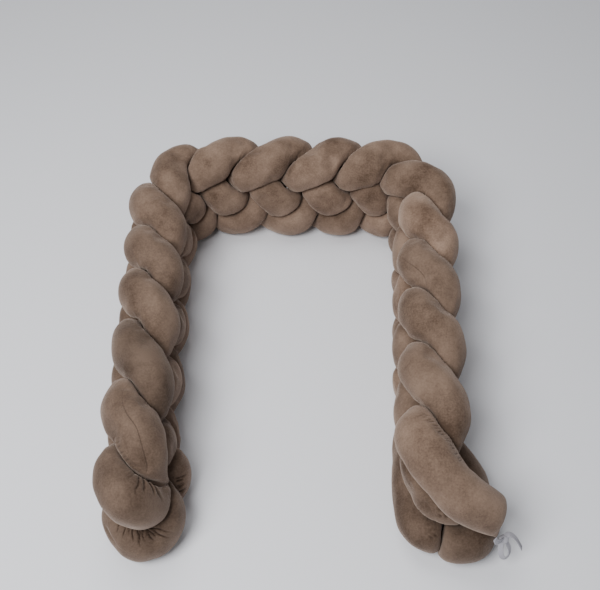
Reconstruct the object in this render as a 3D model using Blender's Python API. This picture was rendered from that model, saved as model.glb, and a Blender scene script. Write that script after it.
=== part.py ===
"""Braided cot bumper: two long stuffed velvet tubes, each folded in half, plaited as four strands.

The flat plait stands on its edge in a U, as it lies round the head end of a cot. Its left end shows
the two folds. Its right end shows the four sewn tube ends, one of which carries a tape tie. Sizes
are metres, +Z is up, +Y points to the head end, and the origin is the middle of the resting plane.
"""

import math

import bmesh
import bpy
import numpy as np
from mathutils import Vector

# The plait: heights are above the resting plane, depths run across the plait
PLAIT_HEIGHT = 0.197
EDGE_REACH = 0.0375  # from a strand's centreline out to the plait's upper or lower edge
EDGE_HEIGHT = 0.0355  # centreline of a strand as it runs along the lower edge
WEAVE_DEPTH = 0.018  # how far a centreline swings to either face
THIRD_SHARE = -0.12  # how much further the crossing at mid height swings out
STRANDS = 4
SWING = (PLAIT_HEIGHT - EDGE_REACH - EDGE_HEIGHT) / 2
MIDDLE_HEIGHT = EDGE_HEIGHT + SWING

# A stuffed tube, free and pressed between its neighbours
TUBE_RADIUS = 0.035
RADIUS_LIMIT = 1.12  # a pressed tube's cloth spreads sideways by no more than this
WOVEN_HALF_WIDTH = 0.038  # in the plane of the plait, before neighbours stop it
WOVEN_HALF_DEPTH = 0.034  # across the plait
FILL_SHARE = 0.15  # stuffing creeps into the hollow beside a neighbour
FILL_REACH = 0.020
BEND_SHARE = 0.92  # keeps the cloth on the inside of a bend from folding through itself
CORNER_POWER = 8.0  # roundness of the edge where a free side meets a pressed side
CELL_GAP = 0.0036  # between pressed sides, before the facets take their part
FACET_SHARE = 0.4  # how much of the nearest limit round a facet counts
SAME_BEND = 0.11  # along a tube, nearer than this is the same bend and not a neighbour
NEAR_REACH = 0.17
LEAST_TURN = 0.0001  # a centreline that comes nearer by less than this is taken as straight
SETTLE_HEIGHT = 0.0045  # the underside is pressed flat up to here

# Mesh of a tube
SIDES = 12
RING_STEP = 0.0225
LINE_STEP = 0.003
BEND_STEP = 1.5  # rings stand closer in tight bends, this being their share of the radius

# Plan of the plait's middle line from the left end: metres, degrees of right turn, degrees of lean
START_X, START_Y, START_HEADING = -0.2445, 0.460, 90.3
PLAN = (
    # part, length, turn, lean of the upper edge to the outside
    ("left side", 0.640, 0.0, 0.0),
    ("left corner", 0.158, 91.5, 6.0),
    ("head end", 0.300, 0.0, 8.0),
    ("right corner", 0.157, 93.3, 6.0),
    ("right side", 0.700, 0.0, 0.0),
)
PLAN_STEP = 0.002
LEAN_BLEND = 0.12

# Where each lobe tops the upper edge, as a length along the plan from the left end
LOBES = (
    0.072, 0.165, 0.283, 0.400, 0.503, 0.602, 0.705, 0.805, 0.911,
    1.013, 1.107, 1.207, 1.318, 1.431, 1.538, 1.656, 1.790,
)
LOBE_BLEND = 0.035
PATH_GAP = 0.018

# How far each strand keeps to the plain plait, in lobes
WOVEN_SPAN = {
    # strand: first, last
    0: (0.85, 15.45),
    1: (1.05, 15.20),
    2: (1.30, 15.30),
    3: (0.85, 15.75),
}

# Free parts of the centrelines at the plait's two ends: x, y, height
UPPER_FOLD = (
    (-0.237, 0.614, 0.159),
    (-0.233, 0.597, 0.153),
    (-0.231, 0.580, 0.141),
    (-0.232, 0.565, 0.123),
    (-0.231, 0.549, 0.107),
    (-0.229, 0.533, 0.109),
    (-0.233, 0.523, 0.123),
    (-0.244, 0.523, 0.135),
    (-0.257, 0.536, 0.138),
    (-0.264, 0.556, 0.134),
    (-0.262, 0.577, 0.126),
)
LOWER_FOLD = (
    (-0.263, 0.600, 0.046),
    (-0.250, 0.580, 0.057),
    (-0.228, 0.559, 0.066),
    (-0.212, 0.535, 0.058),
    (-0.219, 0.514, 0.042),
    (-0.240, 0.506, 0.035),
    (-0.260, 0.520, 0.034),
    (-0.265, 0.545, 0.034),
    (-0.246, 0.567, 0.034),
    (-0.222, 0.582, 0.036),
    (-0.207, 0.598, 0.043),
    (-0.224, 0.618, 0.063),
    (-0.257, 0.637, 0.090),
)
LONG_END = (
    (0.187, 0.612, 0.150),
    (0.197, 0.568, 0.160),
    (0.222, 0.532, 0.155),
    (0.251, 0.509, 0.141),
    (0.297, 0.494, 0.115),
)
INNER_END = (
    (0.190, 0.610, 0.041),
    (0.185, 0.570, 0.039),
    (0.188, 0.530, 0.039),
    (0.200, 0.508, 0.040),
    (0.218, 0.501, 0.042),
)
OUTER_END = (
    (0.264, 0.592, 0.050),
    (0.271, 0.552, 0.043),
    (0.272, 0.516, 0.042),
    (0.256, 0.494, 0.042),
    (0.221, 0.495, 0.044),
)
TUCKED_END = (
    (0.196, 0.569, 0.113),
    (0.207, 0.548, 0.100),
    (0.224, 0.534, 0.091),
    (0.244, 0.526, 0.087),
    (0.260, 0.520, 0.084),
)

# Sewn ends: how long the closing is, half the thickness left at the seam, and the seam's direction
LONG_SEAM = (0.045, 0.008, (0.62, 0.78, 0.00))
TUCKED_SEAM = (0.030, 0.008, (-0.20, 0.60, 0.75))
BLUNT_SEAM = (0.012, 0.026, (0.00, 0.45, 0.90))
SEAM_NARROWING = 0.10
END_TRIM = 0.012  # the last of a tube presses on nothing
END_BLEND = 0.06
WOVEN_START, WOVEN_END = 0.10, 1.79

# Tape tie on the long end's seam
TAPE_WIDTH = 0.008
TAPE_THICKNESS = 0.0012
TAPE_STEP = 0.006
KNOT_SIZE = (0.0078, 0.0070, 0.0068)
KNOT_PLACE = (0.3065, 0.4770, 0.0750)
TAPE_LEAD = (
    # x, y, height, from the seam to the knot
    (0.2857, 0.4637, 0.1080),
    (0.2885, 0.4625, 0.1005),
    (0.2965, 0.4672, 0.0892),
    (0.3050, 0.4760, 0.0765),
)
TAPE_LOOP = (
    (0.3045, 0.4770, 0.0740),
    (0.3040, 0.4720, 0.0600),
    (0.3060, 0.4640, 0.0450),
    (0.3140, 0.4620, 0.0360),
    (0.3195, 0.4680, 0.0450),
    (0.3150, 0.4740, 0.0600),
    (0.3095, 0.4765, 0.0730),
)
TAPE_TAIL = (
    (0.3060, 0.4780, 0.0765),
    (0.3125, 0.4815, 0.0815),
    (0.3210, 0.4805, 0.0770),
    (0.3310, 0.4765, 0.0630),
    (0.3390, 0.4735, 0.0460),
)

VELVET_COLOUR = (0.190, 0.128, 0.098)
VELVET_DEEP = (0.182, 0.122, 0.093)
TAPE_COLOUR = (0.72, 0.71, 0.74)


def smooth(values, reach):
    """Blend a row of values with their neighbours up to a number of places away."""
    kernel = np.hanning(2 * reach + 3)[1:-1]
    kernel /= kernel.sum()
    padded = np.pad(values, (reach, reach), mode="reflect", reflect_type="odd")
    return np.convolve(padded, kernel, "valid")


def plan_line():
    """Walk the plan and give its lengths, points, headings and leans."""
    heading = math.radians(START_HEADING)
    point = np.array((START_X, START_Y))
    points, headings, lengths, leans = [point], [heading], [0.0], [PLAN[0][3]]
    for _, length, turn, lean in PLAN:
        count = max(1, round(length / PLAN_STEP))
        stride = length / count
        bend = -math.radians(turn) / count
        for _ in range(count):
            middle = heading + bend / 2
            point = point + stride * np.array((math.cos(middle), math.sin(middle)))
            heading += bend
            points.append(point)
            headings.append(heading)
            lengths.append(lengths[-1] + stride)
            leans.append(lean)
    leans = np.radians(smooth(np.array(leans), round(LEAN_BLEND / PLAN_STEP)))
    return np.array(lengths), np.array(points), np.array(headings), leans


PLAN_LENGTH, PLAN_POINT, PLAN_HEADING, PLAN_LEAN = plan_line()


def lobe_scale():
    """Give lengths along the plan with the smooth lobe count reached at each."""
    lobes = np.array(LOBES)
    spare = np.arange(1, 4)
    before = lobes[0] - (lobes[1] - lobes[0]) * spare[::-1]
    after = lobes[-1] + (lobes[-1] - lobes[-2]) * spare
    places = np.concatenate((before, lobes, after))
    lengths = np.arange(places[0], places[-1], LINE_STEP)
    counts = np.interp(lengths, places, np.arange(-len(spare), len(lobes) + len(spare)))
    return lengths, smooth(counts, round(LOBE_BLEND / LINE_STEP))


SCALE_LENGTH, SCALE_COUNT = lobe_scale()


def place(length, inward, height):
    """Turn plait coordinates into points: length along the plan, depth to the inside, height."""
    x = np.interp(length, PLAN_LENGTH, PLAN_POINT[:, 0])
    y = np.interp(length, PLAN_LENGTH, PLAN_POINT[:, 1])
    heading = np.interp(length, PLAN_LENGTH, PLAN_HEADING)
    lean = np.interp(length, PLAN_LENGTH, PLAN_LEAN)
    depth = inward - np.tan(lean) * (height - MIDDLE_HEIGHT)
    return np.stack((x + depth * np.sin(heading), y - depth * np.cos(heading), height), -1)


def woven_path(strand):
    """Give the points of one strand's centreline where it keeps to the plain plait."""
    first, last = (np.interp(end, SCALE_COUNT, SCALE_LENGTH) for end in WOVEN_SPAN[strand])
    length = np.linspace(first, last, round((last - first) / PATH_GAP) + 1)
    turn = 2 * math.pi / STRANDS * (np.interp(length, SCALE_LENGTH, SCALE_COUNT) - strand)
    height = MIDDLE_HEIGHT + SWING * np.cos(turn)
    inward = -WEAVE_DEPTH * (np.sin(3 * turn) + THIRD_SHARE * np.sin(turn))
    return place(length, inward, height)


def spline(path, step):
    """Run a natural cubic spline through a path and give points at even steps along it."""
    path = np.asarray(path, float)
    knots = np.concatenate(((0.0,), np.cumsum(np.sqrt(np.linalg.norm(np.diff(path, axis=0), axis=1)))))
    gaps = np.diff(knots)
    count = len(path)
    system = np.eye(count)
    rise = np.zeros((count, 3))
    for row in range(1, count - 1):
        before, after = gaps[row - 1], gaps[row]
        system[row, row - 1:row + 2] = before, 2 * (before + after), after
        rise[row] = 6 * ((path[row + 1] - path[row]) / after - (path[row] - path[row - 1]) / before)
    bend = np.linalg.solve(system, rise)
    where = np.linspace(0, knots[-1], 14 * count)
    left = np.clip(np.searchsorted(knots, where, side="right") - 1, 0, count - 2)
    gap = gaps[left][:, None]
    ahead = (where - knots[left])[:, None]
    behind = gap - ahead
    points = (bend[left] * behind ** 3 + bend[left + 1] * ahead ** 3) / (6 * gap)
    points += (path[left] / gap - bend[left] * gap / 6) * behind
    points += (path[left + 1] / gap - bend[left + 1] * gap / 6) * ahead
    run = np.concatenate(((0.0,), np.cumsum(np.linalg.norm(np.diff(points, axis=0), axis=1))))
    even = np.linspace(0, run[-1], max(2, round(run[-1] / step) + 1))
    return np.stack([np.interp(even, run, points[:, axis]) for axis in range(3)], 1)


def tube_lines():
    """Give the centrelines of the two tubes, each from one sewn end round its fold to the other."""
    upper = (INNER_END[::-1], woven_path(1)[::-1], UPPER_FOLD, woven_path(0), LONG_END)
    lower = (TUCKED_END[::-1], woven_path(3)[::-1], LOWER_FOLD, woven_path(2), OUTER_END)
    return [spline(np.concatenate(parts), LINE_STEP) for parts in (upper, lower)]


def unit(vectors):
    """Scale vectors to length one."""
    return vectors / np.linalg.norm(vectors, axis=-1, keepdims=True)


def carried_frame(line):
    """Carry a frame along a line without twist and give its directions along, side and over."""
    along = unit(np.gradient(line, axis=0))
    side = np.zeros_like(line)
    side[0] = unit(np.cross(along[0], (0.0, 0.0, 1.0)))
    for row in range(1, len(line)):
        side[row] = unit(side[row - 1] - along[row] * (side[row - 1] @ along[row]))
    return along, side, np.cross(along, side)


def ring_places(line, along):
    """Give ring positions as places along a line, closer together where it bends."""
    bend = np.linalg.norm(np.gradient(along, axis=0), axis=1) / LINE_STEP
    bend = np.maximum(smooth(bend, 4), 0)
    step = np.minimum(RING_STEP, BEND_STEP * RING_STEP / (1 + bend * TUBE_RADIUS))
    run = np.concatenate(((0.0,), np.cumsum(LINE_STEP / step[:-1])))
    return np.interp(np.linspace(0, run[-1], round(run[-1]) + 1), run, np.arange(len(line)))


def sample(values, places):
    """Read rows of values at places between them."""
    rows = np.arange(len(values))
    return np.stack([np.interp(places, rows, values[:, axis]) for axis in range(values.shape[1])], 1)


def spokes(line, frame, places, count):
    """Give centres and outward directions of rings at places along a line."""
    along = unit(sample(frame[0], places))
    side = sample(frame[1], places)
    side = unit(side - along * (side * along).sum(1, keepdims=True))
    over = np.cross(along, side)
    angle = 2 * math.pi * np.arange(count) / count
    spread = side[:, None] * np.cos(angle)[None, :, None] + over[:, None] * np.sin(angle)[None, :, None]
    return sample(line, places), along, spread


def cell_limits(own, lines, centres, directions, places):
    """Give how far each spoke may reach before a neighbour's side or the inside of its own bend."""
    neighbour = np.ones(directions.shape[:2])
    bend = np.ones(directions.shape[:2])
    trim = round(END_TRIM / LINE_STEP)
    for which, line in enumerate(lines):
        points = line[trim:-trim]
        rows = np.arange(len(points)) + trim
        for ring, centre in enumerate(centres):
            offset = points - centre
            square = (offset ** 2).sum(1)
            near = square < NEAR_REACH ** 2
            same = np.abs(rows - places[ring]) * LINE_STEP < SAME_BEND
            same &= which == own
            other = near & ~same
            if other.any():
                toward = np.maximum(offset[other] @ directions[ring].T + CELL_GAP, 1e-6)
                reach = (square[other][:, None] - CELL_GAP ** 2) / (2 * toward)
                neighbour[ring] = np.minimum(neighbour[ring], reach.min(0))
            beside = near & same & (square > LEAST_TURN ** 2)
            if beside.any():
                toward = offset[beside] @ directions[ring].T
                toward = np.where(toward > LEAST_TURN, toward, LEAST_TURN * LEAST_TURN)
                reach = BEND_SHARE * square[beside][:, None] / (2 * toward)
                bend[ring] = np.minimum(bend[ring], reach.min(0))
    return np.maximum(neighbour, 0.002), np.maximum(bend, 0.002)


def facet_limits(neighbour):
    """Blend limits taken at double density with the nearest ones round them."""
    around = np.minimum(neighbour, np.minimum(np.roll(neighbour, 1, 1), np.roll(neighbour, -1, 1)))
    least = around.copy()
    least[1:] = np.minimum(least[1:], around[:-1])
    least[:-1] = np.minimum(least[:-1], around[1:])
    return FACET_SHARE * least + (1 - FACET_SHARE) * neighbour


def woven_shape(centres, along, directions):
    """Give the free outline of each ring: flattened across the plait where the tube is woven."""
    distance = np.linalg.norm(centres[:, None, :2] - PLAN_POINT[None], axis=2)
    row = distance.argmin(1)
    across = np.stack((np.sin(PLAN_HEADING[row]), -np.cos(PLAN_HEADING[row]), 0 * row), 1)
    across = across - along * (across * along).sum(1, keepdims=True)
    share = np.linalg.norm(across, axis=1)
    across /= np.maximum(share, 1e-6)[:, None]
    length = PLAN_LENGTH[row]
    weight = np.clip((length - WOVEN_START) / END_BLEND, 0, 1)
    weight = weight * np.clip((WOVEN_END - length) / END_BLEND, 0, 1) * share
    depth_part = (directions * across[:, None]).sum(2)
    width_part = np.sqrt(np.maximum(1 - depth_part ** 2, 0))
    level = np.clip((centres[:, 2] - MIDDLE_HEIGHT) / SWING, -1, 1)
    edge = np.sqrt(np.clip(directions[..., 2] * level[:, None], 0, 1))
    half_width = WOVEN_HALF_WIDTH - (WOVEN_HALF_WIDTH - EDGE_REACH) * edge
    depth = 1 + (WOVEN_HALF_DEPTH / TUBE_RADIUS - 1) * weight[:, None]
    width = 1 + (half_width / TUBE_RADIUS - 1) * weight[:, None]
    return 1 / np.sqrt((depth_part / depth) ** 2 + (width_part / width) ** 2)


def close_ends(shape, centres, along, directions, seams):
    """Flatten the rings towards the two sewn seams and give how open each ring still is."""
    run = np.concatenate(((0.0,), np.cumsum(np.linalg.norm(np.diff(centres, axis=0), axis=1))))
    open_share = np.ones(len(centres))
    for end, (closing, half_seam, direction) in enumerate(seams):
        distance = run if end == 0 else run[-1] - run
        seam = unit(np.array(direction))
        for ring in np.flatnonzero(distance < closing):
            part = distance[ring] / closing
            open_share[ring] = part
            edge = unit(seam - along[ring] * (seam @ along[ring]))
            flat = np.cross(along[ring], edge)
            least = half_seam / TUBE_RADIUS
            thick = least + (1 - least) * math.sqrt(1 - (1 - part) ** 2)
            wide = 1 - SEAM_NARROWING * (1 - part)
            outline = ((directions[ring] @ edge) / wide) ** 2 + ((directions[ring] @ flat) / thick) ** 2
            shape[ring] = part * shape[ring] + (1 - part) / np.sqrt(outline)
    return open_share


def press(radius, shape, limits):
    """Press free outlines against their limits with a rounded edge between the two."""
    free = radius[:, None] * shape
    return (free ** -CORNER_POWER + limits ** -CORNER_POWER) ** (-1 / CORNER_POWER)


def girth(centres, directions, reach):
    """Give the length of cloth round each ring."""
    points = centres[:, None] + directions * reach[..., None]
    facets = np.linalg.norm(points - np.roll(points, 1, axis=1), axis=2).sum(1)
    return facets * math.pi / (SIDES * math.sin(math.pi / SIDES))


def tube_rings(own, lines, seams):
    """Give the rings of one tube, pressed by its neighbours, its bends and the resting plane."""
    line = lines[own]
    frame = carried_frame(line)
    places = ring_places(line, frame[0])
    between = np.interp(np.arange(0, len(places) - 0.5, 0.5), np.arange(len(places)), places)
    fine_centres, _, fine_directions = spokes(line, frame, between, 2 * SIDES)
    neighbour, bend = cell_limits(own, lines, fine_centres, fine_directions, between)
    limits = np.minimum(facet_limits(neighbour), bend)[::2, ::2]
    centres, along, directions = spokes(line, frame, places, SIDES)
    shape = woven_shape(centres, along, directions)
    open_share = close_ends(shape, centres, along, directions, seams)
    low = np.full(len(centres), 0.6 * TUBE_RADIUS)
    high = np.full(len(centres), RADIUS_LIMIT * TUBE_RADIUS)
    for _ in range(14):
        middle = (low + high) / 2
        slack = girth(centres, directions, press(middle, shape, limits)) > 2 * math.pi * TUBE_RADIUS
        high = np.where(slack, middle, high)
        low = np.where(slack, low, middle)
    radius = np.where(open_share < 1, TUBE_RADIUS, (low + high) / 2)
    radius = smooth(radius, 2)
    hollow = np.exp(-(np.maximum(limits - TUBE_RADIUS, 0) / FILL_REACH) ** 2)
    reach = press(radius, shape * (1 + FILL_SHARE * hollow * open_share[:, None]), limits)
    even = reach.copy()
    even[1:-1] = (reach[:-2] + 2 * reach[1:-1] + reach[2:]) / 4
    even = (np.roll(even, 1, 1) + 2 * even + np.roll(even, -1, 1)) / 4
    even[[0, -1]] = reach[[0, -1]]
    reach = np.minimum(even, limits)
    rings = centres[:, None] + directions * reach[..., None]
    height = rings[..., 2]
    rings[..., 2] = np.where(height < SETTLE_HEIGHT, 0.0, height)
    return rings


def extrude_rings(rings):
    """Draw the first ring as a closed outline, extrude it from ring to ring and cap both ends."""
    mesh = bmesh.new()
    circle = bmesh.ops.create_circle(mesh, cap_ends=True, segments=rings.shape[1], radius=1.0)
    outline = circle["verts"]
    for vertex, point in zip(outline, rings[0]):
        vertex.co = point
    edges = list(mesh.edges)
    for ring in rings[1:]:
        grown = bmesh.ops.extrude_edge_only(mesh, edges=edges)["geom"]
        fresh = {item for item in grown if isinstance(item, bmesh.types.BMVert)}
        outline = [next(e.other_vert(v) for e in v.link_edges if e.other_vert(v) in fresh) for v in outline]
        for vertex, point in zip(outline, ring):
            vertex.co = point
        edges = [e for e in grown if isinstance(e, bmesh.types.BMEdge) and set(e.verts) <= fresh]
    bmesh.ops.contextual_create(mesh, geom=edges)
    bmesh.ops.recalc_face_normals(mesh, faces=mesh.faces)
    return mesh


def tape_body(path):
    """Give a length of tape as rings of a thin rectangle carried along a path."""
    line = spline(path, TAPE_STEP)
    _, side, over = carried_frame(line)
    across = TAPE_WIDTH / 2 * side[:, None]
    through = TAPE_THICKNESS / 2 * over[:, None]
    corners = (across + through, through - across, -across - through, across - through)
    return extrude_rings(line[:, None] + np.concatenate(corners, 1))


def knot_body():
    """Give the tie's knot as a small rounded lump."""
    mesh = bmesh.new()
    bmesh.ops.create_uvsphere(mesh, u_segments=10, v_segments=6, radius=1.0)
    bmesh.ops.scale(mesh, vec=Vector(KNOT_SIZE), verts=mesh.verts)
    bmesh.ops.translate(mesh, vec=Vector(KNOT_PLACE), verts=mesh.verts)
    return mesh


def make_material(name, colour, roughness):
    """Give a cloth finish of one colour."""
    material = bpy.data.materials.new(name)
    material.use_nodes = True
    shader = material.node_tree.nodes["Principled BSDF"]
    shader.inputs["Base Color"].default_value = (*colour, 1.0)
    shader.inputs["Roughness"].default_value = roughness
    shader.inputs["Metallic"].default_value = 0.0
    return material


def add_object(name, mesh, material=None):
    """Put a finished mesh into the scene under its name."""
    data = bpy.data.meshes.new(name)
    mesh.to_mesh(data)
    mesh.free()
    data.polygons.foreach_set("use_smooth", [True] * len(data.polygons))
    if material:
        data.materials.append(material)
    item = bpy.data.objects.new(name, data)
    bpy.context.scene.collection.objects.link(item)
    return item


def join_bodies(name, bodies, material):
    """Join overlapping bodies into one closed solid."""
    items = [add_object(f"{name}_{number}", body) for number, body in enumerate(bodies)]
    for extra in items[1:]:
        union = items[0].modifiers.new("union", "BOOLEAN")
        union.operation = "UNION"
        union.solver = "EXACT"
        union.use_self = True
        union.object = extra
    view = bpy.context.evaluated_depsgraph_get()
    joined = bmesh.new()
    joined.from_mesh(items[0].evaluated_get(view).to_mesh())
    for item in items:
        bpy.data.objects.remove(item)
    return add_object(name, joined, material)


def main():
    """Build the two tubes and the tie, and stand them on the origin."""
    for item in list(bpy.data.objects):
        bpy.data.objects.remove(item)
    lines = tube_lines()
    upper = tube_rings(0, lines, (BLUNT_SEAM, LONG_SEAM))
    lower = tube_rings(1, lines, (TUCKED_SEAM, BLUNT_SEAM))
    velvet = make_material("velvet_upper", VELVET_COLOUR, 0.9)
    deep = make_material("velvet_lower", VELVET_DEEP, 0.9)
    cotton = make_material("cotton_tape", TAPE_COLOUR, 0.8)
    pieces = [
        add_object("upper_fold_tube", extrude_rings(upper), velvet),
        add_object("lower_fold_tube", extrude_rings(lower), deep),
    ]
    tie_bodies = [tape_body(TAPE_LEAD), tape_body(TAPE_LOOP), tape_body(TAPE_TAIL), knot_body()]
    pieces.append(join_bodies("tape_tie", tie_bodies, cotton))
    corners = np.array([vertex.co for piece in pieces for vertex in piece.data.vertices])
    middle = (corners.min(0) + corners.max(0)) / 2
    for piece in pieces:
        for vertex in piece.data.vertices:
            vertex.co.x -= middle[0]
            vertex.co.y -= middle[1]


main()
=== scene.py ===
"""Looks of the braided cot bumper: stuffed velvet tubes in a flat plait, with a cotton tape tie.

Sizes are metres. The plait's geometry is worked out in the plan's own coordinates, whose middle is
PLAN_CENTRE, and moved to the frame of the solids at the end.
"""

import logging
import math
from collections.abc import Sequence
from dataclasses import dataclass, field
from enum import Enum

import bmesh
import bpy
import numpy as np
from mathutils import Matrix, Vector

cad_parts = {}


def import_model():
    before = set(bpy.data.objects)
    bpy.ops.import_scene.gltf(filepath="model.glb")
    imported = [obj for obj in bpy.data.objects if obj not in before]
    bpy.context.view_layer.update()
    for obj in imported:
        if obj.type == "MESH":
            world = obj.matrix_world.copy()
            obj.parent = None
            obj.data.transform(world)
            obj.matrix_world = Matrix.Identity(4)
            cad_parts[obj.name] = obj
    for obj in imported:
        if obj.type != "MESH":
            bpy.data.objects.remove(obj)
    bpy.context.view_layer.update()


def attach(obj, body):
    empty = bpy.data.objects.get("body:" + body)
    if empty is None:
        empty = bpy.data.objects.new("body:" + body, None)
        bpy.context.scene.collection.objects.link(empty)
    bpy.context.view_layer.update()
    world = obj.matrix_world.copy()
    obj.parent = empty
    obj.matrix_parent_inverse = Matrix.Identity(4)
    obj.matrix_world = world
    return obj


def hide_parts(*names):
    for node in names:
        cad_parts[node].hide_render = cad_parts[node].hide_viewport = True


LOG = logging.getLogger("crib_bumper")
PLAN_CENTRE = (0.01743902, 0.85920284)
LINE_STEP = 0.003
Triple = tuple[float, float, float]
Rows = Sequence[tuple[float, ...]]


class End(Enum):
    """Which end of a tube's centreline is meant."""

    FIRST = 0
    LAST = 1


def unit(vectors: np.ndarray) -> np.ndarray:
    """Scale vectors along the last axis to length one."""
    return vectors / np.maximum(np.linalg.norm(vectors, axis=-1, keepdims=True), 1e-12)


def smooth(values: np.ndarray, reach: int) -> np.ndarray:
    """Blend a row of values with their neighbours.

    Args:
        values: One number for each place.
        reach: How many places to either side take part.

    Returns:
        As many blended numbers.
    """
    kernel = np.hanning(2 * reach + 3)[1:-1]
    kernel /= kernel.sum()
    padded = np.pad(values, (reach, reach), mode="reflect", reflect_type="odd")
    return np.convolve(padded, kernel, "valid")


def ramp(values: np.ndarray, low: float, high: float) -> np.ndarray:
    """Ease values from zero at low to one at high."""
    share = np.clip((values - low) / (high - low), 0, 1)
    return share * share * (3 - 2 * share)


def run_along(points: np.ndarray) -> np.ndarray:
    """Give the length run so far at each point of a line."""
    return np.concatenate(((0.0,), np.cumsum(np.linalg.norm(np.diff(points, axis=0), axis=1))))


def spline(path: np.ndarray, step: float) -> np.ndarray:
    """Run a natural cubic spline through a path.

    Args:
        path: Points in order, one to a row.
        step: Spacing of the points that come back.

    Returns:
        Points at even steps along the curve.
    """
    chords = np.linalg.norm(np.diff(path, axis=0), axis=1)
    knots = np.concatenate(((0.0,), np.cumsum(np.sqrt(chords))))
    gaps = np.diff(knots)
    count = len(path)
    system = np.eye(count)
    rise = np.zeros((count, 3))
    for row in range(1, count - 1):
        before, after = gaps[row - 1], gaps[row]
        system[row, row - 1:row + 2] = before, 2 * (before + after), after
        rise[row] = 6 * ((path[row + 1] - path[row]) / after - (path[row] - path[row - 1]) / before)
    bend = np.linalg.solve(system, rise)
    where = np.linspace(0, knots[-1], 14 * count)
    left = np.clip(np.searchsorted(knots, where, side="right") - 1, 0, count - 2)
    gap = gaps[left][:, None]
    ahead = (where - knots[left])[:, None]
    behind = gap - ahead
    points = (bend[left] * behind ** 3 + bend[left + 1] * ahead ** 3) / (6 * gap)
    points += (path[left] / gap - bend[left] * gap / 6) * behind
    points += (path[left + 1] / gap - bend[left + 1] * gap / 6) * ahead
    run = run_along(points)
    even = np.linspace(0, run[-1], max(2, round(run[-1] / step) + 1))
    return np.stack([np.interp(even, run, points[:, axis]) for axis in range(3)], 1)


def carried_frame(line: np.ndarray) -> tuple[np.ndarray, np.ndarray]:
    """Carry a direction across a line without twist.

    Args:
        line: Points in order, one to a row.

    Returns:
        The direction along the line and the carried side direction at each point.
    """
    along = unit(np.gradient(line, axis=0))
    side = np.zeros_like(line)
    side[0] = unit(np.cross(along[0], (0.0, 0.0, 1.0)))
    for row in range(1, len(line)):
        side[row] = unit(side[row - 1] - along[row] * (side[row - 1] @ along[row]))
    return along, side


def sample(values: np.ndarray, places: np.ndarray) -> np.ndarray:
    """Read rows of values at places between them."""
    rows = np.arange(len(values))
    return np.stack([np.interp(places, rows, values[:, axis]) for axis in range(values.shape[1])], 1)


def lumps(points: np.ndarray, size: float, seed: int, waves: int = 9) -> np.ndarray:
    """Give a smooth uneven value, about -1 to 1, at each point.

    Args:
        points: Places, the last axis being x, y and z.
        size: Width of one lump.
        seed: Number that fixes the pattern.
        waves: How many plane waves are added up.

    Returns:
        One value for each point.
    """
    random = np.random.default_rng(seed)
    total = np.zeros(points.shape[:-1])
    for _ in range(waves):
        direction = unit(random.normal(size=3)) * math.pi / size * random.uniform(0.7, 1.4)
        total += np.sin(points @ direction + random.uniform(0, 2 * math.pi))
    return total / math.sqrt(waves)


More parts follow.
